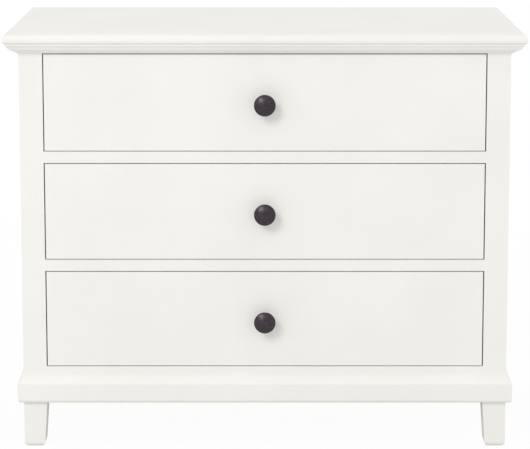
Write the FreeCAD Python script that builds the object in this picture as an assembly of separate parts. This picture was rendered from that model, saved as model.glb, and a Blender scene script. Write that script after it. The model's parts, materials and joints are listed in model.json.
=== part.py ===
import FreeCAD, Part
import math
import os

# A wide painted nightstand with three inset drawers, made as separate pieces of joinery.
# Millimetres. The front faces -Y, +X is to the right and +Z is up. The origin lies on the floor
# under the middle of the whole piece, knobs included.

Vector = FreeCAD.Vector

# Overall form
top_width = 762.0
top_depth = 457.0
overall_height = 620.0
top_thickness = 14.0
top_overhang = 22.0  # past the case at the front and sides; the back is flush
nose_top_radius = 9.0  # meets the flat top at an edge
nose_bottom_radius = 5.0
nose_flat = 1.0  # upright band between the two arcs

# Cornice under the top: reaches out from the case, steps down from the slab
cornice_height = 15.0
cornice_setback = 3.7  # behind the nose of the top
cornice_fascia = 2.3
cornice_cove_width = 5.1
cornice_cove_height = 6.1
cornice_toe = 0.9  # left in front of the case where the lower hollow ends

# Base moulding: measured out from the case and up from the underside of the rails
base_reach = 8.7
base_height = 45.5
base_face_height = 28.7
base_edge_radius = 5.5
base_step = 1.0
base_step_height = 0.8
base_toe = 0.6

# How far an arc stands off its chord, as a share of the chord
quarter_bulge = (math.sqrt(2) - 1) / 2
cornice_cove_bulge = 0.08
cornice_hollow_bulge = 0.04
base_cove_bulge = 0.11

# Posts and feet
post_width = 34.5
post_depth = 45.0
foot_height = 69.5
foot_taper_x = 4.5
foot_taper_y = 5.0
foot_edge_radius = 7.0
glide_height = 1.0
glide_radius = 8.0
glide_edge = 0.5
glide_nail_radius = 1.2
glide_nail_length = 12.0
glide_nail_spare = 1.0  # depth of the hole past the tip

# Rails between the posts
drawer_rail_height = 17.0
bottom_rail_height = 54.5
rail_thickness = 20.0
side_rail_show = 45.0  # height seen between a moulding and the side panel
tenon_length = 12.0
tenon_shoulder = 4.0
mortise_side_clearance = 0.1
mortise_end_clearance = 0.8

# Panels
panel_thickness = 6.0
panel_recess = 8.0
panel_groove_depth = 6.0
panel_side_clearance = 0.1
panel_edge_clearance = 0.5
back_thickness = 6.0
back_rabbet_width = 12.0
bottom_panel_rise = 25.0
corner_block_leg = 60.0

# Drawers, from the top down
drawer_names = ("upper", "middle", "lower")
rail_names = ("upper", "lower")
drawer_gap_side = 1.6
drawer_gap_top = 1.4
drawer_gap_bottom = 1.0
drawer_front_thickness = 20.0
drawer_front_edge_radius = 0.8
box_board = 12.0
box_bottom_gap = 14.0
box_top_gap = 22.0
box_panel_rise = 10.0
box_groove_depth = 6.0
tail_count = 4
tail_share = 0.6  # of the pitch, at the shoulder
tail_angle = 8.0

# Ball-bearing slides: width from the post to the drawer box, sheet and balls
slide_space = 12.7
slide_height = 35.0
slide_setback = 2.0
slide_back_clearance = 7.0
slide_overlap = 110.0  # length that stays engaged when the drawer is fully out
slide_rise = 46.0  # centre line above the bottom of the drawer box
slide_sheet = 1.2
slide_stop_height = 16.0
slide_stop_clearance = 0.5
cleat_height = 44.0
cleat_clearance = 0.5
ball_radius = 2.0
race_clearance = 0.1
case_race_end = 15.0  # degrees round the ball, counted from the drawer side
drawer_race_end = 200.0
cage_sheet = 0.7
cage_lip = 0.9
cage_end_clearance = 1.0
ball_pitch = 18.0

# Knobs
knob_radius = 15.875  # at the widest part of the rim
knob_projection = 26.0
knob_foot_radius = 8.0
knob_foot_height = 1.8
knob_neck_radius = 5.5
knob_neck_height = 9.5
knob_edge_height = 18.8
knob_edge_band = 2.2
knob_drop = 2.0  # axis below the middle of the opening

# Screws
wood_screw_radius = 1.75
wood_screw_head_radius = 4.0
wood_screw_head_height = 2.2
front_screw_cover = 7.0  # wood left in front of the tip
front_screw_side_inset = 107.0  # from the ends of the drawer box
front_screw_edge_inset = 26.0  # from its upper and lower edges
knob_screw_radius = 2.0
knob_screw_head_radius = 4.5
knob_screw_bite = 11.0
knob_screw_spare = 2.0
slide_screw_radius = 1.5
slide_screw_head_radius = 3.2
slide_screw_head_height = 1.3
slide_screw_bite = 10.0
slide_screw_cover = 2.0  # wood left inside the drawer
slide_screw_inset = 14.0
back_screw_radius = 1.5
back_screw_head_radius = 3.2
back_screw_bite = 16.0
back_screw_count = 5
back_screw_sink = 0.1
top_screw_cover = 5.0  # wood left above the tip
top_screw_inset = 20.0
hole_clearance = 0.1
edge_tolerance = 0.01

# Places worked out from the sizes above
half_case = top_width / 2 - top_overhang
case_depth = top_depth - top_overhang
back_y = (case_depth + max(top_overhang, knob_projection)) / 2
front_y = back_y - case_depth
post_inner_x = half_case - post_width
front_post_y = front_y + post_depth
back_post_y = back_y - post_depth
slab_z = overall_height - top_thickness
opening_top_z = slab_z - cornice_height
opening_bottom_z = foot_height + bottom_rail_height
rails_between = len(drawer_names) - 1
opening_total = opening_top_z - opening_bottom_z - rails_between * drawer_rail_height
opening_height = opening_total / len(drawer_names)
level_pitch = opening_height + drawer_rail_height
rail_inner_x = half_case - rail_thickness
panel_outer_x = half_case - panel_recess
panel_inner_x = panel_outer_x - panel_thickness
side_rail_low_z = foot_height + base_height + side_rail_show
side_rail_high_z = opening_top_z - side_rail_show
back_inner_y = back_y - back_thickness

box_half = post_inner_x - slide_space
box_front_y = front_y + drawer_front_thickness
box_height = opening_height - box_bottom_gap - box_top_gap
slide_front_y = box_front_y + slide_setback
slide_length = back_inner_y - slide_back_clearance - slide_front_y
slide_travel = slide_length - slide_overlap
box_back_y = slide_front_y + slide_length

ball_u = slide_space / 2
race_radius = ball_radius + race_clearance
race_back_radius = race_radius + slide_sheet
ball_w = slide_height / 2 - race_back_radius
cage_length = slide_overlap - 2 * cage_end_clearance
cage_front_y = slide_front_y + slide_travel / 2 + cage_end_clearance


# Basic shapes

def box(x_pair, y_pair, z_pair):
    low = Vector(min(x_pair), min(y_pair), min(z_pair))
    size = Vector(max(x_pair), max(y_pair), max(z_pair)) - low
    return Part.makeBox(size.x, size.y, size.z, low)


def rod(radius, start, end):
    along = end - start
    return Part.makeCylinder(radius, along.Length, start, along)


def bulged(start, end, bulge):
    """Middle point of an arc that stands off its chord, to the left when bulge is positive."""
    du = end[0] - start[0]
    dv = end[1] - start[1]
    return ((start[0] + end[0]) / 2 - bulge * dv, (start[1] + end[1]) / 2 + bulge * du)


def outline(steps, place):
    """Face from a closed path. A step is a point, or a (middle, end) pair for an arc."""
    edges = []
    here = steps[0]
    for step in list(steps[1:]) + [steps[0]]:
        if isinstance(step[0], tuple):
            middle, there = step
            edges.append(Part.Arc(place(*here), place(*middle), place(*there)).toShape())
        else:
            there = step
            edges.append(Part.LineSegment(place(*here), place(*there)).toShape())
        here = there
    return Part.Face(Part.Wire(edges))


def solid(shape):
    """The single clean solid of a boolean result."""
    return shape.removeSplitter().Solids[0]


def cut_all(shape, tools):
    return solid(shape.cut(Part.makeCompound(tools)))


def plan_prism(points, z_low, z_high):
    wire = Part.makePolygon([Vector(x, y, z_low) for x, y in list(points) + [points[0]]])
    return Part.Face(wire).extrude(Vector(0, 0, z_high - z_low))


# Top panel: the same nose runs round the front and both sides and meets in mitred corners

def nose_points(edge, inward):
    """Ends and middles of the two arcs of a rounded edge, from the underside to the flat top."""
    lower = min(nose_bottom_radius, (top_thickness - nose_flat) / 2)
    rise = min(nose_top_radius, top_thickness - nose_flat - lower)
    turn = math.asin(rise / nose_top_radius)
    foot = (edge + inward * lower, slab_z)
    points = [foot, bulged(foot, (edge, slab_z + lower), inward * quarter_bulge), (edge, slab_z + lower)]
    for angle in (0.0, turn / 2, turn):
        u = edge + inward * nose_top_radius * (1 - math.cos(angle))
        points.append((u, overall_height - rise + nose_top_radius * math.sin(angle)))
    return points


def nose_steps(low, high, low_is_square):
    foot, lower_middle, lower_end, upper_start, upper_middle, flat_edge = nose_points(high, -1)
    steps = [foot, (lower_middle, lower_end), upper_start, (upper_middle, flat_edge)]
    if low_is_square:
        return steps + [(low, overall_height), (low, slab_z)]
    foot, lower_middle, lower_end, upper_start, upper_middle, flat_edge = nose_points(low, 1)
    return steps + [flat_edge, (upper_middle, upper_start), lower_end, (lower_middle, foot)]


def top_panel():
    half_top = top_width / 2
    nose_y = front_y - top_overhang
    across = outline(nose_steps(-half_top, half_top, False), lambda u, z: Vector(u, nose_y, z))
    across = across.extrude(Vector(0, top_depth, 0))
    # the front-to-back section is drawn with its nose at +u, so u runs against y
    along = outline(nose_steps(-back_y, -nose_y, True), lambda u, z: Vector(-half_top, -u, z))
    along = along.extrude(Vector(top_width, 0, 0))
    slab = solid(across.common(along))
    pilots = [rod(wood_screw_radius + hole_clearance, foot, tip) for foot, tip in top_screw_lines()]
    return cut_all(slab, pilots)


# Mouldings: one section, run along the front and both sides and mitred at the corners

def cornice_steps():
    reach = top_overhang - cornice_setback
    cove_start = (reach, -cornice_fascia)
    cove_end = (reach - cornice_cove_width, -cornice_fascia - cornice_cove_height)
    toe = (cornice_toe, -cornice_height)
    steps = [(0.0, 0.0), (reach, 0.0), cove_start]
    steps.append((bulged(cove_start, cove_end, -cornice_cove_bulge), cove_end))
    steps.append((bulged(cove_end, toe, -cornice_hollow_bulge), toe))
    return steps + [(0.0, -cornice_height)], reach


def base_steps():
    edge = base_edge_radius
    edge_points = ((base_reach - edge, 0.0), (base_reach, edge))
    cove_start = (base_reach - base_step, base_face_height + base_step_height)
    cove_end = (base_toe, base_height)
    steps = [(0.0, 0.0), edge_points[0], (bulged(*edge_points, -quarter_bulge), edge_points[1])]
    steps += [(base_reach, base_face_height), cove_start]
    steps += [(bulged(cove_start, cove_end, base_cove_bulge), cove_end), (0.0, base_height)]
    return steps, base_reach


def mouldings(steps, reach, zero_z):
    """Front, left and right lengths of a section given as (reach, height above zero_z)."""
    nose = front_y - reach
    run = half_case + reach
    lows = zero_z - overall_height
    highs = zero_z + overall_height
    front = outline(steps, lambda p, h: Vector(-run, front_y - p, zero_z + h))
    front = front.extrude(Vector(2 * run, 0, 0))
    front_plan = [(-half_case, front_y), (half_case, front_y), (run, nose), (-run, nose)]
    pieces = {"front": solid(front.common(plan_prism(front_plan, lows, highs)))}
    for name, side in (("left", -1), ("right", 1)):
        length = outline(steps, lambda p, h: Vector(side * (half_case + p), nose, zero_z + h))
        length = length.extrude(Vector(0, back_y - nose, 0))
        inner, outer = side * half_case, side * run
        plan = [(inner, front_y), (outer, nose), (outer, back_y), (inner, back_y)]
        pieces[name] = solid(length.common(plan_prism(plan, lows, highs)))
    return pieces


# Joints that the rails, panels and posts share

def tenons(x_pair, y_pair, z_pair, axis, shoulder_z, grow_side, grow_end):
    """The two end tenons of a rail, or with some growth the mortises that take them."""
    pairs = [list(x_pair), list(y_pair), list(z_pair)]
    ends = pairs[axis]
    blocks = []
    for end, away in ((ends[0], -1), (ends[1], 1)):
        spans = []
        for index, pair in enumerate(pairs):
            shoulder = shoulder_z if index == 2 else tenon_shoulder
            spans.append((pair[0] + shoulder - grow_side, pair[1] - shoulder + grow_side))
        spans[axis] = tuple(sorted((end, end + away * (tenon_length + grow_end))))
        blocks.append(box(*spans))
    return blocks


def rail_list():
    """Every rail between posts: name, spans, long axis and shoulder above and below its tenons."""
    across = (-post_inner_x, post_inner_x)
    between = (front_post_y, back_post_y)
    top_span = (opening_top_z, slab_z)
    low_span = (foot_height, opening_bottom_z)
    rails = {}
    rails["front_rail_top"] = (across, (front_y, front_post_y), top_span, 0, tenon_shoulder)
    rails["back_rail_top"] = (across, (back_post_y, back_inner_y), top_span, 0, tenon_shoulder)
    for index, name in enumerate(rail_names):
        high = opening_top_z - opening_height - index * level_pitch
        span = (high - drawer_rail_height, high)
        rails["drawer_rail_" + name] = (across, (front_y, front_post_y), span, 0, tenon_shoulder)
    low_front = (front_y, front_y + rail_thickness)
    low_back = (back_inner_y - rail_thickness, back_inner_y)
    rails["front_rail_bottom"] = (across, low_front, low_span, 0, tenon_shoulder)
    rails["back_rail_bottom"] = (across, low_back, low_span, 0, tenon_shoulder)
    grooved_shoulder = tenon_shoulder + panel_groove_depth
    for name, side in (("left", -1), ("right", 1)):
        across_side = tuple(sorted((side * rail_inner_x, side * half_case)))
        low = (foot_height, side_rail_low_z)
        high = (side_rail_high_z, slab_z)
        rails["side_rail_bottom_" + name] = (across_side, between, low, 1, grooved_shoulder)
        rails["side_rail_top_" + name] = (across_side, between, high, 1, grooved_shoulder)
    return rails


def side_pocket(side, shrink_side, shrink_edge):
    """The space of a side panel in its grooves, made smaller for the panel itself."""
    spans_x = (side * (panel_inner_x - panel_side_clearance + shrink_side),
               side * (panel_outer_x + panel_side_clearance - shrink_side))
    inset = panel_groove_depth - shrink_edge
    spans_y = (front_post_y - inset, back_post_y + inset)
    return box(spans_x, spans_y, (side_rail_low_z - inset, side_rail_high_z + inset))


def back_pocket(edge):
    reach = post_inner_x + back_rabbet_width - edge
    return box((-reach, reach), (back_inner_y, back_y), (foot_height, slab_z))


def bottom_pocket(shrink_side, shrink_edge):
    low = foot_height + bottom_panel_rise
    inset = panel_groove_depth - shrink_edge
    reach = rail_inner_x + inset
    span_y = (front_y + rail_thickness - inset, back_inner_y - rail_thickness + inset)
    sides = panel_side_clearance - shrink_side
    return box((-reach, reach), span_y, (low - sides, low + panel_thickness + sides))


def screw_hole(foot, tip, radius):
    return rod(radius + hole_clearance, foot, tip)


# Screws of the case: each line gives the point under the head and the tip

def top_screw_lines():
    lines = []
    for side in (-1, 1):
        x = side * (rail_inner_x - top_screw_inset)
        for y in (front_post_y + top_screw_inset, back_post_y - top_screw_inset):
            lines.append((Vector(x, y, opening_top_z), Vector(x, y, overall_height - top_screw_cover)))
    return lines


def back_screw_lines():
    lines = []
    step = 2 * (post_inner_x - corner_block_leg) / (back_screw_count - 1)
    groove_top = foot_height + bottom_panel_rise + panel_thickness
    for z in ((opening_top_z + slab_z) / 2, (groove_top + opening_bottom_z) / 2):
        for index in range(back_screw_count):
            x = -post_inner_x + corner_block_leg + index * step
            start = Vector(x, back_y - back_screw_sink, z)
            lines.append((start, start - Vector(0, back_thickness + back_screw_bite, 0)))
    return lines


def level_floor(level):
    """Lower edge of the opening of a drawer level, counted from the top."""
    return opening_top_z - opening_height - level * level_pitch


def slide_centre(level):
    return level_floor(level) + box_bottom_gap + slide_rise


def case_slide_screw_lines():
    lines = []
    near = slide_front_y + slide_screw_inset
    far = slide_front_y + slide_length - slide_screw_inset
    for level in range(len(drawer_names)):
        for side in (-1, 1):
            for y in (near, (near + far) / 2, far):
                start = Vector(side * (post_inner_x - slide_sheet), y, slide_centre(level))
                lines.append((start, start + Vector(side * (slide_screw_bite + slide_sheet), 0, 0)))
    return lines


def pan_screw(foot, tip, radius, head_radius, head_height):
    """Screw whose head stands on a face at foot and whose shank runs to tip."""
    along = (tip - foot).normalize()
    head = rod(head_radius, foot - along * head_height, foot)
    return solid(head.fuse(rod(radius, foot - along * head_height / 2, tip)))


def wood_screw(foot, tip):
    return pan_screw(foot, tip, wood_screw_radius, wood_screw_head_radius, wood_screw_head_height)


def flat_screw(start, tip, radius, head_radius):
    """Screw with a cone head that lies flush at start."""
    along = (tip - start).normalize()
    head = Part.makeCone(head_radius, radius, head_radius - radius, start, along)
    return solid(head.fuse(rod(radius, start + along * (head_radius - radius) / 2, tip)))


def flat_sink(start, tip, radius, head_radius):
    """Countersunk hole for a flat screw, open beyond the face that it starts from."""
    along = (tip - start).normalize()
    wide = head_radius + hole_clearance
    narrow = radius + hole_clearance
    sink = Part.makeCone(wide, narrow, wide - narrow, start, along)
    mouth = rod(wide, start - along * wide, start)
    return Part.makeCompound([sink, mouth, rod(narrow, start, tip + along * hole_clearance)])


def case_screws():
    pieces = [wood_screw(foot, tip) for foot, tip in top_screw_lines()]
    for start, tip in back_screw_lines():
        pieces.append(flat_screw(start, tip, back_screw_radius, back_screw_head_radius))
    for start, tip in case_slide_screw_lines():
        pieces.append(flat_screw(start, tip, slide_screw_radius, slide_screw_head_radius))
    return Part.makeCompound(pieces)


def case_slide_sinks():
    lines = case_slide_screw_lines()
    return [flat_sink(start, tip, slide_screw_radius, slide_screw_head_radius) for start, tip in lines]


def back_sinks():
    lines = back_screw_lines()
    return [flat_sink(start, tip, back_screw_radius, back_screw_head_radius) for start, tip in lines]


# Posts, with the feet tapering on their two inner faces

def foot_centre(side, back):
    """Middle of the flat under a foot."""
    width = post_width - foot_taper_x
    depth = post_depth - foot_taper_y
    x = side * (half_case - width / 2)
    y = back_y - depth / 2 if back else front_y + depth / 2
    return Vector(x, y, glide_height)


def post(side, back, tools):
    outer_y = back_y if back else front_y
    inward = -1 if back else 1
    inner_y = outer_y + inward * post_depth
    trunk = box((side * post_inner_x, side * half_case), (outer_y, inner_y), (foot_height, slab_z))
    wires = []
    for z, slim_x, slim_y in ((foot_height, 0.0, 0.0), (glide_height, foot_taper_x, foot_taper_y)):
        inner = (side * (post_inner_x + slim_x), inner_y - inward * slim_y)
        outer = (side * half_case, outer_y)
        corners = [(inner[0], inner[1]), (outer[0], inner[1]), (outer[0], outer[1]), (inner[0], outer[1])]
        wires.append(Part.makePolygon([Vector(x, y, z) for x, y in corners + corners[:1]]))
    leg = Part.makeLoft(wires, True, True)
    whole = solid(trunk.fuse(leg))
    rims = [edge for edge in whole.Edges if max(v.Z for v in edge.Vertexes) < glide_height + edge_tolerance]
    whole = whole.makeFillet(foot_edge_radius, rims)
    seat = foot_centre(side, back)
    tip = seat + Vector(0, 0, glide_nail_length + glide_nail_spare)
    return cut_all(whole, tools + [screw_hole(seat, tip, glide_nail_radius)])


def foot_glides():
    pieces = []
    for side in (-1, 1):
        for back in (False, True):
            seat = foot_centre(side, back)
            pad = rod(glide_radius, Vector(seat.x, seat.y, 0), seat)
            rim = [edge for edge in pad.Edges if edge.CenterOfMass.z < edge_tolerance]
            pad = pad.makeChamfer(glide_edge, rim)
            root = seat - Vector(0, 0, glide_height / 2)
            nail = rod(glide_nail_radius, root, seat + Vector(0, 0, glide_nail_length))
            pieces.append(solid(pad.fuse(nail)))
    return Part.makeCompound(pieces)


def corner_blocks():
    pieces = []
    leg = corner_block_leg
    holes = [screw_hole(foot, tip, wood_screw_radius) for foot, tip in top_screw_lines()]
    for side in (-1, 1):
        for corner_y, inward in ((front_post_y, 1), (back_post_y, -1)):
            x = side * rail_inner_x
            plan = [(x, corner_y), (x - side * leg, corner_y), (x, corner_y + inward * leg)]
            pieces.append(cut_all(plan_prism(plan, opening_top_z, slab_z), holes))
    return Part.makeCompound(pieces)


def slide_cleats():
    """Strips between the posts that carry the middle of each slide."""
    pieces = []
    outer = panel_inner_x - cleat_clearance
    sinks = case_slide_sinks()
    for level in range(len(drawer_names)):
        centre = slide_centre(level)
        span_z = (centre - cleat_height / 2, centre + cleat_height / 2)
        for side in (-1, 1):
            strip = box((side * post_inner_x, side * outer), (front_post_y, back_post_y), span_z)
            pieces.append(cut_all(strip, sinks))
    return Part.makeCompound(pieces)


def bottom_panel():
    panel = bottom_pocket(panel_side_clearance, panel_edge_clearance)
    grow = panel_edge_clearance
    notches = []
    for side in (-1, 1):
        for span_y in ((front_y, front_post_y + grow), (back_post_y - grow, back_y)):
            span_x = (side * (post_inner_x - grow), side * half_case)
            notches.append(box(span_x, span_y, (foot_height, opening_bottom_z)))
    return cut_all(panel, notches)


# Slides: sections are drawn as (u, w), u from the post towards the drawer box, w up from the centre

def race_point(radius, degrees):
    angle = math.radians(degrees)
    return (ball_u + radius * math.cos(angle), ball_w + radius * math.sin(angle))


def flipped(steps):
    """The same path below the centre line, run backwards."""
    points = []
    middles = []
    for step in steps:
        is_arc = isinstance(step[0], tuple)
        points.append(step[1] if is_arc else step)
        middles.append(step[0] if is_arc else None)
    result = []
    for index in range(len(points) - 1, -1, -1):
        point = (points[index][0], -points[index][1])
        arc_middle = middles[index + 1] if index + 1 < len(points) else None
        result.append(((arc_middle[0], -arc_middle[1]), point) if arc_middle else point)
    return result


def case_member_steps():
    top = slide_height / 2
    middle = (90.0 + case_race_end) / 2
    upper = [(0.0, top), (ball_u, top)]
    upper.append((race_point(race_back_radius, middle), race_point(race_back_radius, case_race_end)))
    upper.append(race_point(race_radius, case_race_end))
    upper.append((race_point(race_radius, middle), race_point(race_radius, 90.0)))
    upper.append((slide_sheet, top - slide_sheet))
    return upper + flipped(upper)


def drawer_member_steps():
    web = slide_space - slide_sheet
    outer = ball_w - race_radius
    middle = (270.0 + drawer_race_end) / 2
    upper = [(slide_space, outer), (ball_u, outer)]
    upper.append((race_point(race_radius, middle), race_point(race_radius, drawer_race_end)))
    upper.append(race_point(race_back_radius, drawer_race_end))
    upper.append((race_point(race_back_radius, middle), race_point(race_back_radius, 270.0)))
    upper.append((web, outer - slide_sheet))
    return upper + flipped(upper)


def cage_steps():
    lip = race_point(race_back_radius, drawer_race_end)[0]
    near = (slide_sheet + lip - cage_sheet) / 2  # midway between the post member and the drawer member
    reach = ball_u + race_radius + cage_lip
    high = ball_w + cage_sheet / 2
    upper = [(near, high), (reach, high), (reach, high - cage_sheet), (near + cage_sheet, high - cage_sheet)]
    return upper + flipped(upper)


def along_slide(steps, side, level, y_start, length):
    centre = slide_centre(level)
    face = outline(steps, lambda u, w: Vector(side * (post_inner_x - u), y_start, centre + w))
    return face.extrude(Vector(0, length, 0))


def case_members():
    pieces = []
    sinks = case_slide_sinks()
    for level in range(len(drawer_names)):
        centre = slide_centre(level)
        for side in (-1, 1):
            channel = along_slide(case_member_steps(), side, level, slide_front_y, slide_length)
            stop_x = (side * (post_inner_x - slide_sheet / 2), side * (box_half + slide_sheet))
            stop_y = (box_back_y - slide_sheet, box_back_y)
            stop_z = (centre - slide_stop_height / 2, centre + slide_stop_height / 2)
            pieces.append(cut_all(channel.fuse(box(stop_x, stop_y, stop_z)), sinks))
    return Part.makeCompound(pieces)


def drawer_slide_screw_lines(level):
    lines = []
    near = slide_front_y + slide_screw_inset
    far = box_back_y - slide_sheet - slide_screw_inset
    for side in (-1, 1):
        for y in (near, (near + far) / 2, far):
            foot = Vector(side * (box_half + slide_sheet), y, slide_centre(level))
            tip = Vector(side * (box_half - box_board + slide_screw_cover), y, foot.z)
            lines.append((foot, tip))
    return lines


def drawer_members(level):
    pieces = []
    holes = [screw_hole(a, b, slide_screw_radius) for a, b in drawer_slide_screw_lines(level)]
    length = slide_length - slide_sheet - slide_stop_clearance
    for side in (-1, 1):
        channel = along_slide(drawer_member_steps(), side, level, slide_front_y, length)
        pieces.append(cut_all(channel, holes))
    return Part.makeCompound(pieces)


def ball_cages(level):
    pieces = []
    centre = slide_centre(level)
    count = int((cage_length - ball_pitch) // ball_pitch) + 1
    first = cage_front_y + (cage_length - (count - 1) * ball_pitch) / 2
    through = Vector(0, 0, cage_sheet)
    for side in (-1, 1):
        x = side * (post_inner_x - ball_u)
        cage = along_slide(cage_steps(), side, level, cage_front_y, cage_length)
        pockets = []
        for index in range(count):
            y = first + index * ball_pitch
            for sign in (-1, 1):
                middle = Vector(x, y, centre + sign * ball_w)
                pockets.append(rod(race_radius, middle - through, middle + through))
                pieces.append(Part.makeSphere(ball_radius, middle))
        pieces.append(cut_all(cage, pockets))
    return Part.makeCompound(pieces)


# Drawers

def box_floor(level):
    return level_floor(level) + box_bottom_gap


def tails(level, side, back):
    """The tails on one end of a drawer side, as prisms through its thickness."""
    pitch = box_height / tail_count
    root_half = pitch * tail_share / 2
    end_half = root_half + box_board * math.tan(math.radians(tail_angle))
    end_y = box_back_y if back else box_front_y
    root_y = end_y - box_board if back else end_y + box_board
    shapes = []
    for index in range(tail_count):
        z = box_floor(level) + (index + 0.5) * pitch
        corners = [(root_y, z - root_half), (end_y, z - end_half)]
        corners += [(end_y, z + end_half), (root_y, z + root_half)]
        wire = Part.makePolygon([Vector(side * box_half, y, w) for y, w in corners + corners[:1]])
        shapes.append(Part.Face(wire).extrude(Vector(-side * box_board, 0, 0)))
    return shapes


def box_groove(level, shrink_side, shrink_edge):
    """The space of a drawer bottom in its grooves, made smaller for the bottom itself."""
    low = box_floor(level) + box_panel_rise
    inset = box_board - box_groove_depth + shrink_edge
    reach = box_half - inset
    sides = panel_side_clearance - shrink_side
    span_y = (box_front_y + inset, box_back_y - inset)
    return box((-reach, reach), span_y, (low - sides, low + panel_thickness + sides))


def front_screw_lines(level):
    low = box_floor(level) + front_screw_edge_inset
    high = box_floor(level) + box_height - front_screw_edge_inset
    lines = []
    for side in (-1, 1):
        x = side * (box_half - front_screw_side_inset)
        for z in (low, high):
            lines.append((Vector(x, box_front_y + box_board, z), Vector(x, front_y + front_screw_cover, z)))
    return lines


def knob_axis(level):
    return Vector(0, front_y, level_floor(level) + opening_height / 2 - knob_drop)


def drawer_front(level):
    low = level_floor(level)
    half = post_inner_x - drawer_gap_side
    span_z = (low + drawer_gap_bottom, low + opening_height - drawer_gap_top)
    board = box((-half, half), (front_y, box_front_y), span_z)
    rims = [edge for edge in board.Edges if max(v.Y for v in edge.Vertexes) < front_y + edge_tolerance]
    board = board.makeFillet(drawer_front_edge_radius, rims)
    holes = [screw_hole(foot, tip, wood_screw_radius) for foot, tip in front_screw_lines(level)]
    knob = knob_axis(level)
    holes.append(screw_hole(knob, Vector(0, box_front_y, knob.z), knob_screw_radius))
    return cut_all(board, holes)


def drawer_end(level, back):
    """Front or back board of the drawer box, with the pins between the tails of the sides."""
    start = box_back_y - box_board if back else box_front_y
    span_z = (box_floor(level), box_floor(level) + box_height)
    board = box((-box_half, box_half), (start, start + box_board), span_z)
    tools = tails(level, -1, back) + tails(level, 1, back) + [box_groove(level, 0.0, 0.0)]
    if not back:
        tools += [screw_hole(foot, tip, wood_screw_radius) for foot, tip in front_screw_lines(level)]
        knob = knob_axis(level)
        tools.append(screw_hole(knob, Vector(0, box_front_y + box_board, knob.z), knob_screw_radius))
    return cut_all(board, tools)


def drawer_side(level, side):
    span_z = (box_floor(level), box_floor(level) + box_height)
    span_y = (box_front_y + box_board, box_back_y - box_board)
    board = box((side * box_half, side * (box_half - box_board)), span_y, span_z)
    whole = solid(board.fuse(tails(level, side, False) + tails(level, side, True)))
    holes = [screw_hole(a, b, slide_screw_radius) for a, b in drawer_slide_screw_lines(level)]
    return cut_all(whole, [box_groove(level, 0.0, 0.0)] + holes)


def knob(level):
    """Turned mushroom knob: foot, waist, rounded rim and shallow dome."""
    axis = knob_axis(level)
    waist = (knob_neck_radius, knob_neck_height)
    rim = knob_radius - quarter_bulge * knob_edge_band
    rim_low = (rim, knob_edge_height)
    rim_high = (rim, knob_edge_height + knob_edge_band)
    crown = (0.0, knob_projection)
    rise = math.atan2(crown[1] - rim_high[1], rim)  # an arc twice as steep at the rim ends level
    steps = [(0.0, 0.0), (knob_foot_radius, 0.0), (knob_foot_radius, knob_foot_height)]
    steps.append((bulged(steps[-1], waist, quarter_bulge), waist))
    steps.append((bulged(waist, rim_low, quarter_bulge / 2), rim_low))
    steps.append((bulged(rim_low, rim_high, -quarter_bulge), rim_high))
    steps.append((bulged(rim_high, crown, -math.tan(rise / 2) / 2), crown))
    face = outline(steps, lambda r, d: Vector(axis.x + r, axis.y - d, axis.z))
    body = face.revolve(axis, Vector(0, -1, 0), 360)
    bore_end = axis - Vector(0, knob_screw_bite + knob_screw_spare, 0)
    return cut_all(body, [screw_hole(axis, bore_end, knob_screw_radius)])


def drawer_screws(level):
    pieces = [wood_screw(foot, tip) for foot, tip in front_screw_lines(level)]
    foot = knob_axis(level) + Vector(0, drawer_front_thickness + box_board, 0)
    tip = knob_axis(level) - Vector(0, knob_screw_bite, 0)
    pieces.append(pan_screw(foot, tip, knob_screw_radius, knob_screw_head_radius, wood_screw_head_height))
    for foot, tip in drawer_slide_screw_lines(level):
        head = (slide_screw_head_radius, slide_screw_head_height)
        pieces.append(pan_screw(foot, tip, slide_screw_radius, *head))
    return Part.makeCompound(pieces)


# All nodes by name

def case_nodes():
    nodes = {"top_panel": top_panel()}
    for name, piece in mouldings(*cornice_steps(), slab_z).items():
        nodes["cornice_" + name] = piece
    for name, piece in mouldings(*base_steps(), foot_height).items():
        nodes["base_moulding_" + name] = piece
    panels = [side_pocket(-1, 0.0, 0.0), side_pocket(1, 0.0, 0.0), bottom_pocket(0.0, 0.0)]
    post_tools = panels[:2] + [back_pocket(0.0)] + case_slide_sinks()
    for name, (xs, ys, zs, axis, shoulder) in rail_list().items():
        blocks = tenons(xs, ys, zs, axis, shoulder, 0.0, 0.0)
        body = solid(box(xs, ys, zs).fuse(blocks))
        post_tools += tenons(xs, ys, zs, axis, shoulder, mortise_side_clearance, mortise_end_clearance)
        nodes[name] = cut_all(body, panels + back_sinks())
    for name, side, back in (("front_left", -1, False), ("front_right", 1, False),
                             ("back_left", -1, True), ("back_right", 1, True)):
        nodes["post_" + name] = post(side, back, post_tools)
    for name, side in (("left", -1), ("right", 1)):
        nodes["side_panel_" + name] = side_pocket(side, panel_side_clearance, panel_edge_clearance)
    nodes["back_panel"] = cut_all(back_pocket(panel_edge_clearance), back_sinks())
    nodes["bottom_panel"] = bottom_panel()
    nodes["corner_blocks"] = corner_blocks()
    nodes["slide_cleats"] = slide_cleats()
    nodes["slide_case_members"] = case_members()
    nodes["case_screws"] = case_screws()
    nodes["foot_glides"] = foot_glides()
    return nodes


def drawer_nodes(level, name):
    stem = "drawer_" + name + "_"
    nodes = {stem + "front": drawer_front(level)}
    nodes[stem + "box_front"] = drawer_end(level, False)
    nodes[stem + "box_back"] = drawer_end(level, True)
    nodes[stem + "side_left"] = drawer_side(level, -1)
    nodes[stem + "side_right"] = drawer_side(level, 1)
    nodes[stem + "bottom"] = box_groove(level, panel_side_clearance, panel_edge_clearance)
    nodes[stem + "knob"] = knob(level)
    nodes[stem + "screws"] = drawer_screws(level)
    nodes[stem + "slide_members"] = drawer_members(level)
    nodes["ball_cage_" + name] = ball_cages(level)
    return nodes


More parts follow.
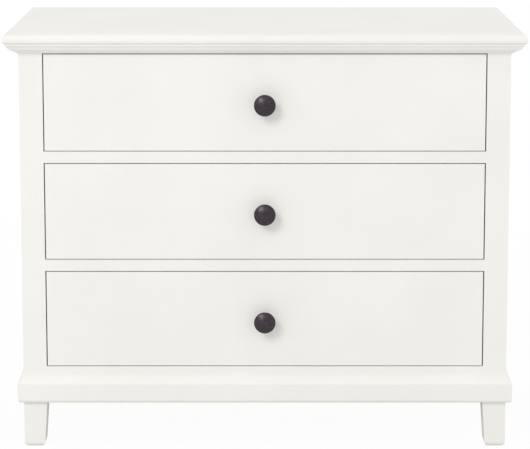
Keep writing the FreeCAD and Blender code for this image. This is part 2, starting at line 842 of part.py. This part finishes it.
def main():
    nodes = case_nodes()
    for level, name in enumerate(drawer_names):
        nodes.update(drawer_nodes(level, name))
    os.makedirs("parts", exist_ok=True)
    for name, shape in nodes.items():
        shape.exportStep("parts/" + name + ".step")
    print(len(nodes), "nodes; drawer travel", round(slide_travel, 2), "mm")


main()
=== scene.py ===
import bpy
import json
import math
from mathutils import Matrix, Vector


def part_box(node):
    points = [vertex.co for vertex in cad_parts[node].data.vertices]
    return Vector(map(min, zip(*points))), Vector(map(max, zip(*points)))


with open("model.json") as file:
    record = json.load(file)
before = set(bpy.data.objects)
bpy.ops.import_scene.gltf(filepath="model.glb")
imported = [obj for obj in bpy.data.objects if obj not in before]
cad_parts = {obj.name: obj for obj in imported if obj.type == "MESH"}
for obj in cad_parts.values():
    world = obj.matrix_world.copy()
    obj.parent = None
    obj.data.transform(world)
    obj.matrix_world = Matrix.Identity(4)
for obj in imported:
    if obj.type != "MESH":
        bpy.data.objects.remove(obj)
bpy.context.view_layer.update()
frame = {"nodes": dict(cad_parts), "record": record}  # the nightstand at its real size, front towards -Y, floor at z = 0
pieces = frame["nodes"]
print("frame loaded:", len(pieces), "pieces")


# Node helpers

axisNames = "XYZ"
noiseMiddle = 0.5  # the value that noise stays around
noiseKinds = {  # detail and roughness
    "single": (1.0, 0.5),
    "plain": (2.0, 0.5),
    "soft": (3.0, 0.5),
    "fibrous": (3.0, 0.6),
    "worn": (4.0, 0.6),
    "patchy": (4.0, 0.65),
}
colourMix = {"inputs": (0, 6, 7), "result": 2}  # the mix node's factor and two colours


def addNode(tree, kind, inputs=None, **settings):
    made = tree.nodes.new(kind)
    for name, value in settings.items():
        setattr(made, name, value)
    for name, value in (inputs or {}).items():
        if isinstance(value, bpy.types.NodeSocket):
            tree.links.new(value, made.inputs[name])
        else:
            made.inputs[name].default_value = value
    return made


def newFinish(name):
    finish = bpy.data.materials.new(name)
    finish.use_nodes = True
    tree = finish.node_tree
    shader = tree.nodes["Principled BSDF"]
    place = addNode(tree, "ShaderNodeTexCoord")
    return finish, tree, shader, place


def newMetal(name):
    finish, tree, shader, place = newFinish(name)
    shader.inputs["Metallic"].default_value = 1.0
    return finish, tree, shader, place


def alongGrain(tree, place, axis, along, across, start=(0, 0, 0)):
    cells = [across] * 3  # cells of the pattern per metre
    cells[axis] = along
    inputs = {"Vector": place.outputs["Object"], "Location": start, "Scale": cells}
    return addNode(tree, "ShaderNodeMapping", inputs).outputs["Vector"]


def noise(tree, vector, scale=1.0, kind="plain"):
    detail, roughness = noiseKinds[kind]
    inputs = {"Vector": vector, "Scale": scale, "Detail": detail, "Roughness": roughness}
    return addNode(tree, "ShaderNodeTexNoise", inputs).outputs["Fac"]


def between(tree, value, low, high, newLow, newHigh):
    ranges = {"Value": value, "From Min": low, "From Max": high,
              "To Min": newLow, "To Max": newHigh}
    return addNode(tree, "ShaderNodeMapRange", ranges).outputs["Result"]


def aroundMiddle(tree, value, spread, newLow=0, newHigh=1):
    low, high = noiseMiddle - spread, noiseMiddle + spread
    return between(tree, value, low, high, newLow, newHigh)


def mixTones(tree, factor, first, second):
    made = addNode(tree, "ShaderNodeMix", data_type="RGBA")
    for number, value in zip(colourMix["inputs"], (factor, first, second)):
        if isinstance(value, bpy.types.NodeSocket):
            tree.links.new(value, made.inputs[number])
        else:
            made.inputs[number].default_value = (*value, 1.0)
    return made.outputs[colourMix["result"]]


def arithmetic(tree, operation, first, second=0.0):
    values = {0: first, 1: second}
    return addNode(tree, "ShaderNodeMath", values, operation=operation).outputs[0]


def colourWith(tree, shader, tone):
    tree.links.new(tone, shader.inputs["Base Color"])


def mottleWith(tree, shader, value, look, first, second):
    shade = aroundMiddle(tree, value, look["spread"])
    colourWith(tree, shader, mixTones(tree, shade, look[first], look[second]))


def sheenWith(tree, shader, value, sheen, spread=0.2):
    rough = aroundMiddle(tree, value, spread, *sheen)
    tree.links.new(rough, shader.inputs["Roughness"])


def reliefInto(tree, shader, height, depth, strength, under=None):
    inputs = {"Height": height, "Distance": depth, "Strength": strength}
    if under is not None:
        inputs["Normal"] = under
    made = addNode(tree, "ShaderNodeBump", inputs)
    tree.links.new(made.outputs["Normal"], shader.inputs["Normal"])
    return made.outputs["Normal"]


# Finishes: each maker takes the axis of the grain, also where its finish has none.
# Sheen is the roughness from the smoothest patches to the dullest, spread is how far the
# noise goes from its middle before a tone is full, depths are metres, single patterns are
# cells per metre and pairs are cells per metre along and across the grain.

whitePaint = {
    "light": (0.897, 0.881, 0.837),
    "deep": (0.874, 0.857, 0.810),
    "clouds": 7,
    "spread": 0.15,
    "sheen": (0.50, 0.60),
    "gloss": 0.35,
    "peel": 480,  # the sprayed film
    "peelDepth": 0.00005,
    "peelShow": 0.6,
    "grain": (14, 620),  # the boards under the paint
    "grainDepth": 0.00006,
    "grainShow": 0.5,
}


def whitePaintFinish(axis):
    finish, tree, shader, place = newFinish("whitePaint" + axisNames[axis])
    clouds = noise(tree, place.outputs["Object"], whitePaint["clouds"], "soft")
    mottleWith(tree, shader, clouds, whitePaint, "light", "deep")
    peel = noise(tree, place.outputs["Object"], whitePaint["peel"])
    sheenWith(tree, shader, peel, whitePaint["sheen"])
    boards = alongGrain(tree, place, axis, *whitePaint["grain"])
    grain = noise(tree, boards, kind="soft")
    under = reliefInto(tree, shader, grain, whitePaint["grainDepth"], whitePaint["grainShow"])
    reliefInto(tree, shader, peel, whitePaint["peelDepth"], whitePaint["peelShow"], under)
    shader.inputs["Specular IOR Level"].default_value = whitePaint["gloss"]
    return finish


birchGrain = {  # shared by the boards and the ply, the starts keep the patterns apart
    "rings": (0.07, 1.0),
    "ringPeriod": 0.314,  # metres between two rings of the pattern at scale 1
    "ringRange": (0.25, 1.0),
    "ringShare": 0.75,
    "ringDepth": 0.00005,
    "wander": 5.5,
    "wanderDetail": 3.0,
    "wanderScale": 0.35,
    "wanderRoughness": 0.55,
    "clouds": (2.2, 16),
    "cloudStart": (1, 2, 3),
    "cloudSpread": 0.2,
    "faintest": 0.45,  # the least that the rings show in the pale clouds
    "fibres": (26, 1500),
    "fibreRange": (0.35, 0.7),
    "fibreShare": 0.30,
    "fibreDepth": 0.00012,
    "flecks": (160, 1100),
    "fleckStart": (3, 5, 7),
    "fleckRange": (0.66, 0.74),
    "fleckShare": 0.35,
}


def birchRings(tree, place, axis, look):
    # growth rings round a pith outside the board
    waves = {
        "Vector": alongGrain(tree, place, axis, *birchGrain["rings"], look["pith"]),
        "Scale": birchGrain["ringPeriod"] / look["ringWidth"],
        "Distortion": birchGrain["wander"],
        "Detail": birchGrain["wanderDetail"],
        "Detail Scale": birchGrain["wanderScale"],
        "Detail Roughness": birchGrain["wanderRoughness"],
    }
    kind = {"wave_type": "RINGS", "rings_direction": axisNames[axis], "wave_profile": "SAW"}
    return addNode(tree, "ShaderNodeTexWave", waves, **kind).outputs["Fac"]


def birchPattern(tree, place, axis, look):
    rings = birchRings(tree, place, axis, look)
    fibreCells = alongGrain(tree, place, axis, *birchGrain["fibres"])
    fleckCells = alongGrain(tree, place, axis, *birchGrain["flecks"], birchGrain["fleckStart"])
    cloudCells = alongGrain(tree, place, axis, *birchGrain["clouds"], birchGrain["cloudStart"])
    fibres = noise(tree, fibreCells, kind="fibrous")
    flecks = noise(tree, fleckCells, kind="single")
    clouds = noise(tree, cloudCells)
    ringTone = between(tree, rings, *birchGrain["ringRange"], 0, birchGrain["ringShare"])
    cloudTone = aroundMiddle(tree, clouds, birchGrain["cloudSpread"], birchGrain["faintest"])
    ringShade = arithmetic(tree, "MULTIPLY", ringTone, cloudTone)
    fibreShade = between(tree, fibres, *birchGrain["fibreRange"], 0, birchGrain["fibreShare"])
    fleckShade = between(tree, flecks, *birchGrain["fleckRange"], 0, birchGrain["fleckShare"])
    tone = mixTones(tree, ringShade, look["early"], look["late"])
    tone = mixTones(tree, fibreShade, tone, look["late"])
    tone = mixTones(tree, fleckShade, tone, look["fleck"])
    return tone, fibres, rings


clearBirch = {
    "early": (0.74, 0.575, 0.385),
    "late": (0.585, 0.415, 0.245),
    "fleck": (0.50, 0.34, 0.19),
    "end": (0.47, 0.325, 0.19),
    "endFacing": (0.8, 0.95),  # how squarely a face crosses the grain, 1 at the end of a board
    "endShare": 0.6,
    "ringWidth": 0.0052,
    "ringShow": 0.4,
    "pith": (0.09, 0.05, 0.07),
    "fibreShow": 0.5,
    "sheen": (0.42, 0.60),
}


def clearBirchFinish(axis):
    finish, tree, shader, place = newFinish("clearBirch" + axisNames[axis])
    tone, fibres, rings = birchPattern(tree, place, axis, clearBirch)
    normal = {0: place.outputs["Normal"]}
    facing = addNode(tree, "ShaderNodeSeparateXYZ", normal).outputs[axis]
    facing = arithmetic(tree, "ABSOLUTE", facing)
    endGrain = between(tree, facing, *clearBirch["endFacing"], 0, clearBirch["endShare"])
    colourWith(tree, shader, mixTones(tree, endGrain, tone, clearBirch["end"]))
    sheenWith(tree, shader, fibres, clearBirch["sheen"])
    under = reliefInto(tree, shader, rings, birchGrain["ringDepth"], clearBirch["ringShow"])
    reliefInto(tree, shader, fibres, birchGrain["fibreDepth"], clearBirch["fibreShow"], under)
    return finish


birchPly = {
    "early": (0.72, 0.585, 0.42),
    "late": (0.60, 0.455, 0.30),
    "fleck": (0.52, 0.38, 0.24),
    "ringWidth": 0.016,
    "pith": (0.21, 0.13, 0.32),
    "fibreShow": 0.6,
    "sheen": (0.50, 0.66),
}


def birchPlyFinish(axis):
    finish, tree, shader, place = newFinish("birchPly" + axisNames[axis])
    tone, fibres, rings = birchPattern(tree, place, axis, birchPly)
    colourWith(tree, shader, tone)
    sheenWith(tree, shader, fibres, birchPly["sheen"])
    reliefInto(tree, shader, fibres, birchGrain["fibreDepth"], birchPly["fibreShow"])
    return finish


slideZinc = {
    "bright": (0.66, 0.68, 0.70),
    "dull": (0.50, 0.515, 0.54),
    "patches": 60,
    "spread": 0.15,
    "sheen": (0.26, 0.44),
    "rolled": (9, 2600),
    "rolledDepth": 0.00003,
    "rolledShow": 0.5,
}


def slideZincFinish(axis):
    finish, tree, shader, place = newMetal("slideZinc")
    rolledCells = alongGrain(tree, place, axis, *slideZinc["rolled"])
    rolled = noise(tree, rolledCells, kind="fibrous")
    patches = noise(tree, place.outputs["Object"], slideZinc["patches"], "patchy")
    mottleWith(tree, shader, patches, slideZinc, "bright", "dull")
    sheenWith(tree, shader, rolled, slideZinc["sheen"])
    reliefInto(tree, shader, rolled, slideZinc["rolledDepth"], slideZinc["rolledShow"])
    return finish


ballSteel = {
    "bright": (0.74, 0.74, 0.75),
    "dull": (0.62, 0.62, 0.63),
    "film": 240,  # grease and wear
    "spread": 0.1,
    "sheen": (0.10, 0.24),
    "sheenSpread": 0.15,
}


def ballSteelFinish(axis):
    finish, tree, shader, place = newMetal("ballSteel")
    film = noise(tree, place.outputs["Object"], ballSteel["film"], "soft")
    mottleWith(tree, shader, film, ballSteel, "bright", "dull")
    sheenWith(tree, shader, film, ballSteel["sheen"], ballSteel["sheenSpread"])
    return finish


screwSteel = {
    "bright": (0.62, 0.62, 0.60),
    "dull": (0.46, 0.45, 0.42),
    "film": 420,
    "filmDepth": 0.00002,
    "filmShow": 0.4,
    "spread": 0.15,
    "sheen": (0.26, 0.42),
}


def screwSteelFinish(axis):
    finish, tree, shader, place = newMetal("screwSteel")
    film = noise(tree, place.outputs["Object"], screwSteel["film"], "worn")
    mottleWith(tree, shader, film, screwSteel, "bright", "dull")
    sheenWith(tree, shader, film, screwSteel["sheen"])
    reliefInto(tree, shader, film, screwSteel["filmDepth"], screwSteel["filmShow"])
    return finish


darkBronze = {
    "deep": (0.050, 0.041, 0.049),
    "warm": (0.070, 0.057, 0.066),
    "mottle": 210,
    "spread": 0.15,
    "sheen": (0.31, 0.40),
    "cast": 900,  # the cast skin
    "castDepth": 0.00003,
    "castShow": 0.4,
}


def darkBronzeFinish(axis):
    finish, tree, shader, place = newMetal("darkBronze")
    mottle = noise(tree, place.outputs["Object"], darkBronze["mottle"], "worn")
    mottleWith(tree, shader, mottle, darkBronze, "deep", "warm")
    sheenWith(tree, shader, mottle, darkBronze["sheen"])
    cast = noise(tree, place.outputs["Object"], darkBronze["cast"])
    reliefInto(tree, shader, cast, darkBronze["castDepth"], darkBronze["castShow"])
    return finish


glideNylon = {
    "light": (0.76, 0.75, 0.71),
    "scuffed": (0.60, 0.58, 0.53),
    "scuffs": 300,
    "scuffRange": (0.5, 0.75),
    "scuffDepth": 0.00004,
    "scuffShow": 0.5,
    "sheen": (0.42, 0.62),
}


def glideNylonFinish(axis):
    finish, tree, shader, place = newFinish("glideNylon")
    scuffs = noise(tree, place.outputs["Object"], glideNylon["scuffs"], "patchy")
    shade = between(tree, scuffs, *glideNylon["scuffRange"], 0, 1)
    colourWith(tree, shader, mixTones(tree, shade, glideNylon["light"], glideNylon["scuffed"]))
    sheenWith(tree, shader, scuffs, glideNylon["sheen"])
    reliefInto(tree, shader, scuffs, glideNylon["scuffDepth"], glideNylon["scuffShow"])
    return finish


finishMakers = {
    "white_paint": whitePaintFinish,
    "clear_birch": clearBirchFinish,
    "birch_ply": birchPlyFinish,
    "zinc_steel": slideZincFinish,
    "ball_steel": ballSteelFinish,
    "screw_steel": screwSteelFinish,
    "dark_bronze": darkBronzeFinish,
    "glide_nylon": glideNylonFinish,
}
grained = ("white_paint", "clear_birch", "birch_ply")
frontToBack = 1  # the Y axis, which the slides, cleats and blocks follow
groupsAlongDepth = ("slide_cleats", "corner_blocks")


def grainAxis(name, slot):
    if slot not in grained or name in groupsAlongDepth:
        return frontToBack
    low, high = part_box(name)
    spans = high - low
    return max(range(3), key=lambda axis: spans[axis])


def dressPieces():
    made = {}
    for row in frame["record"]["subparts"]:
        name, slot = row["node"], row["material_slot"]
        axis = grainAxis(name, slot)
        if (slot, axis) not in made:
            made[slot, axis] = finishMakers[slot](axis)
        for holder in pieces[name].material_slots:
            holder.material = made[slot, axis]
    print("finishes made:", len(made))


dressPieces()


# Studio: white floor, soft lamps, camera

studio = {
    "floorSize": 30.0,
    "floorTone": (0.79, 0.805, 0.82),
    "shadowShare": 0.04,  # how much of the shading shows on the floor close to the piece
    "fadeFrom": 0.6,  # metres from the middle of the piece
    "fadeTo": 2.6,
    "ambient": 0.787,  # strength of the room's light on the piece
}
pureWhite = (1, 1, 1, 1)


def addObject(name, data):
    made = bpy.data.objects.new(name, data)
    bpy.context.scene.collection.objects.link(made)
    return made


def seenDirectly(tree):
    # 1 for the rays of the camera, of reflections and through glass
    rays = addNode(tree, "ShaderNodeLightPath").outputs
    direct = arithmetic(tree, "MAXIMUM", rays["Is Camera Ray"], rays["Is Glossy Ray"])
    return arithmetic(tree, "MAXIMUM", direct, rays["Is Transmission Ray"])


def floorMesh():
    half = studio["floorSize"] / 2
    corners = [(-half, -half, 0), (half, -half, 0), (half, half, 0), (-half, half, 0)]
    mesh = bpy.data.meshes.new("studioFloor")
    mesh.from_pydata(corners, [], [(0, 1, 2, 3)])
    return mesh


def floorFinish():
    # white to the camera, with a little of the shading close to the piece
    finish, tree, shader, place = newFinish("studioFloor")
    tree.nodes.remove(shader)
    middle = {0: place.outputs["Object"]}
    away = addNode(tree, "ShaderNodeVectorMath", middle, operation="LENGTH").outputs["Value"]
    share = between(tree, away, studio["fadeFrom"], studio["fadeTo"], studio["shadowShare"], 0)
    tone = {"Color": (*studio["floorTone"], 1)}
    shaded = addNode(tree, "ShaderNodeBsdfDiffuse", tone).outputs[0]
    glow = {"Color": pureWhite, "Strength": 1.0}
    white = addNode(tree, "ShaderNodeEmission", glow).outputs[0]
    seenParts = {0: share, 1: white, 2: shaded}
    seen = addNode(tree, "ShaderNodeMixShader", seenParts).outputs[0]
    parts = {0: seenDirectly(tree), 1: shaded, 2: seen}
    surface = addNode(tree, "ShaderNodeMixShader", parts).outputs[0]
    tree.links.new(surface, tree.nodes["Material Output"].inputs["Surface"])
    return finish


def paleFloor():
    mesh = floorMesh()
    floor = addObject("studioFloor", mesh)
    mesh.materials.append(floorFinish())


def whiteRoom():
    world = bpy.data.worlds.new("whiteRoom")
    bpy.context.scene.world = world
    world.use_nodes = True
    tree = world.node_tree
    strength = between(tree, seenDirectly(tree), 0, 1, studio["ambient"], 1)
    background = tree.nodes["Background"]
    background.inputs["Color"].default_value = pureWhite
    tree.links.new(strength, background.inputs["Strength"])


lamps = {  # place, aim and side of the square in metres, power in watts
    "keyLamp": {
        "at": (-2.1, -4.2, 3.2), "aim": (0, -0.2, 0.35), "side": 1.9,
        "power": 81, "tint": (1.0, 0.997, 0.992), "mirrored": True,
    },
    "sideLamp": {
        "at": (3.6, -0.4, 0.5), "aim": (0, -0.2, 0.05), "side": 0.9,
        "power": 16, "tint": (1.0, 1.0, 1.0), "mirrored": False,
    },
    "backLamp": {
        "at": (1.6, 3.4, 1.9), "aim": (0, 0, 0.3), "side": 2.0,
        "power": 16, "tint": (1.0, 1.0, 1.0), "mirrored": False,
    },
}


def softLamp(name, look):
    lamp = bpy.data.lights.new(name, "AREA")
    lamp.shape = "SQUARE"
    lamp.size = look["side"]
    lamp.energy = look["power"]
    lamp.color = look["tint"]
    holder = addObject(name, lamp)
    holder.location = look["at"]
    towards = Vector(look["aim"]) - Vector(look["at"])
    holder.rotation_euler = towards.to_track_quat("-Z", "Y").to_euler()
    holder.visible_camera = False
    holder.visible_glossy = look["mirrored"]


cameraPlace = {
    "pitch": 9.993,  # degrees down
    "lens": 169.5,  # millimetres, as the sensor
    "sensor": 36.0,
    "reach": 60.0,
    "away": 3.598,  # in front of the nose of the top
    "above": 0.356,  # over the top
    "aside": 0.0003,
}


def photoCamera():
    low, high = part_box("top_panel")
    camera = bpy.data.cameras.new("photoCamera")
    camera.sensor_width = cameraPlace["sensor"]
    camera.lens = cameraPlace["lens"]
    camera.clip_end = cameraPlace["reach"]
    holder = addObject("photoCamera", camera)
    front = low.y - cameraPlace["away"]
    height = high.z + cameraPlace["above"]
    holder.location = (cameraPlace["aside"], front, height)
    holder.rotation_euler = (math.radians(90 - cameraPlace["pitch"]), 0, 0)
    bpy.context.scene.camera = holder


paleFloor()
whiteRoom()
for lampName, lampLook in lamps.items():
    softLamp(lampName, lampLook)
photoCamera()
bpy.context.scene.view_settings.view_transform = "Standard"
print("studio ready:", len(lamps), "lamps")
